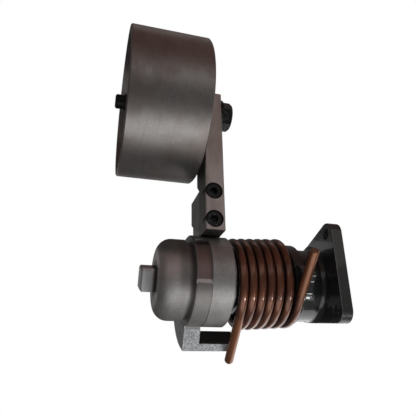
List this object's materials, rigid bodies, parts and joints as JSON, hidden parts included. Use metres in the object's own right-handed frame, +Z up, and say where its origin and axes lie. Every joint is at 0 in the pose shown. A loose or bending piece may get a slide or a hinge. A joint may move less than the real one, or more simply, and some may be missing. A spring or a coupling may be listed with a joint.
{
  "type": "tensioner pulley",
  "caption": "Belt tensioner: a wide smooth idler drum on a sprung arm that swings on a cast base with a bolt flange.",
  "frame": {"origin": "centre of the mounting flange's face, on the pivot axis", "axes": "+X out of the flange's mounting face along the pivot axis, +Z up as the picture shows it, -Y towards the picture's viewer"},
  "size_m": [0.1811, 0.1572, 0.2647],
  "materials": {
    "black_paint": "gloss black paint over a casting",
    "spring_lacquer": "gloss copper-brown lacquer on spring wire",
    "cast_steel": "satin cast and machined surface",
    "machined_steel": "fine turned or milled surface",
    "black_oxide": "satin black oxide",
    "ground_steel": "ground steel",
    "ball_steel": "polished",
    "bronze": "satin bronze",
    "seal_rubber": "matte black",
    "cage_plastic": "matte"
  },
  "bodies": {
    "base": {"base_housing": "black_paint", "front_bush": "bronze", "rear_bush": "bronze", "thrust_washer": "ground_steel", "rear_plug": "machined_steel", "torsion_spring": "spring_lacquer"},
    "arm": {"arm_casting": "cast_steel", "pivot_shaft": "ground_steel", "rear_washer": "ground_steel", "shaft_ring": "black_oxide", "arm_bar": "machined_steel", "arm_screw_upper": "black_oxide", "arm_screw_lower": "black_oxide", "pulley_bolt": "black_oxide", "bolt_washer": "black_oxide", "bearing_sleeve": "ground_steel", "arm_spacer": "machined_steel", "race_spacer": "machined_steel", "nut_washer": "ground_steel", "pulley_nut": "black_oxide", "right_inner_race": "ground_steel", "left_inner_race": "ground_steel"},
    "pulley": {"pulley_drum": "machined_steel", "drum_circlip": "black_oxide", "right_outer_race": "ground_steel", "left_outer_race": "ground_steel", "right_bearing_arm_seal": "seal_rubber", "right_bearing_nut_seal": "seal_rubber", "left_bearing_arm_seal": "seal_rubber", "left_bearing_nut_seal": "seal_rubber"},
    "right_ball_set": {"right_balls": "ball_steel", "right_cage": "cage_plastic"},
    "left_ball_set": {"left_balls": "ball_steel", "left_cage": "cage_plastic"}
  },
  "joints": [
    {"name": "arm_swing", "type": "hinge", "parent": "base", "child": "arm", "pos_m": [-0.0855, 0, 0], "axis": [-1, 0, 0], "range_deg": [0, 30], "stiffness_Nm_per_rad": 20, "springref_deg": -20.05, "deforming": ["torsion_spring"]},
    {"name": "pulley_spin", "type": "hinge", "parent": "arm", "child": "pulley", "pos_m": [-0.14305, 0.04027, 0.14024], "axis": [1, 0, 0], "continuous": true},
    {"name": "right_ball_turn", "type": "hinge", "parent": "arm", "child": "right_ball_set", "pos_m": [-0.14305, 0.04027, 0.14024], "axis": [1, 0, 0], "continuous": true},
    {"name": "left_ball_turn", "type": "hinge", "parent": "arm", "child": "left_ball_set", "pos_m": [-0.14305, 0.04027, 0.14024], "axis": [1, 0, 0], "continuous": true}
  ],
  "couplings": [
    {"joint": "right_ball_turn", "follows": "pulley_spin", "ratio": 0.63625},
    {"joint": "left_ball_turn", "follows": "pulley_spin", "ratio": 0.63625}
  ]
}
